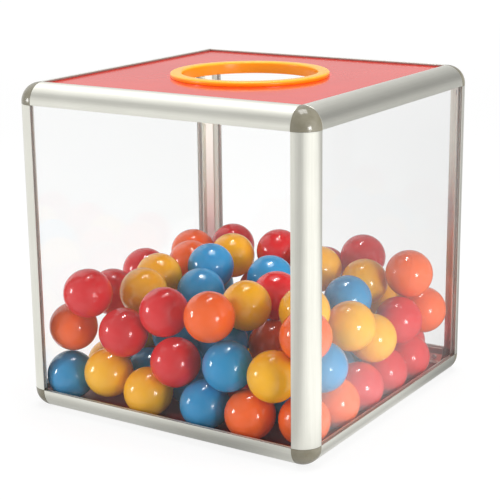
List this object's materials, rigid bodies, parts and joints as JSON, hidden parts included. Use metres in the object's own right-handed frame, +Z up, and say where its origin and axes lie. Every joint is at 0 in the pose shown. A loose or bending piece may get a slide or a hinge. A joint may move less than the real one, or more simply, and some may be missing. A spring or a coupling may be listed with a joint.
{
  "type": "clear draw box",
  "caption": "Cube-shaped clear draw box with an aluminium frame, a red lid, an orange hand ring and a heap of coloured balls inside.",
  "frame": {"origin": "middle of the box on the plane it stands on", "axes": "+Z up through the hand hole, -Y out of the front clear side, +X out of the right clear side"},
  "size_m": [0.3, 0.3, 0.3021],
  "materials": {
    "frame_metal": "satin anodised extrusion",
    "corner_plastic": "satin moulded plastic, grey-brown",
    "clear_sheet": "clear acrylic sheet, polished",
    "red_sheet": "red acrylic sheet, polished",
    "orange_plastic": "glossy moulded plastic",
    "screw_steel": "zinc-plated steel",
    "ball_red": "glossy blow-moulded plastic",
    "ball_orange": "glossy blow-moulded plastic",
    "ball_yellow": "glossy blow-moulded plastic",
    "ball_blue": "glossy blow-moulded plastic"
  },
  "bodies": {
    "box": {"post_front_left": "frame_metal", "post_front_right": "frame_metal", "post_back_left": "frame_metal", "post_back_right": "frame_metal", "top_rail_front": "frame_metal", "top_rail_back": "frame_metal", "top_rail_left": "frame_metal", "top_rail_right": "frame_metal", "bottom_rail_front": "frame_metal", "bottom_rail_back": "frame_metal", "bottom_rail_left": "frame_metal", "bottom_rail_right": "frame_metal", "corner_top_front_left": "corner_plastic", "corner_top_front_right": "corner_plastic", "corner_top_back_left": "corner_plastic", "corner_top_back_right": "corner_plastic", "corner_bottom_front_left": "corner_plastic", "corner_bottom_front_right": "corner_plastic", "corner_bottom_back_left": "corner_plastic", "corner_bottom_back_right": "corner_plastic", "side_front": "clear_sheet", "side_back": "clear_sheet", "side_left": "clear_sheet", "side_right": "clear_sheet", "lid_board": "red_sheet", "floor_board": "red_sheet", "hand_ring": "orange_plastic", "clip_ring": "orange_plastic", "corner_screws": "screw_steel", "red_balls": "ball_red", "orange_balls": "ball_orange", "yellow_balls": "ball_yellow", "blue_balls": "ball_blue"},
    "drawn_ball": {"drawn_ball": "ball_blue"}
  },
  "joints": [
    {"name": "ball_lift", "type": "slide", "parent": "box", "child": "drawn_ball", "axis": [0, 0, 1], "range_m": [0, 0.23]}
  ]
}
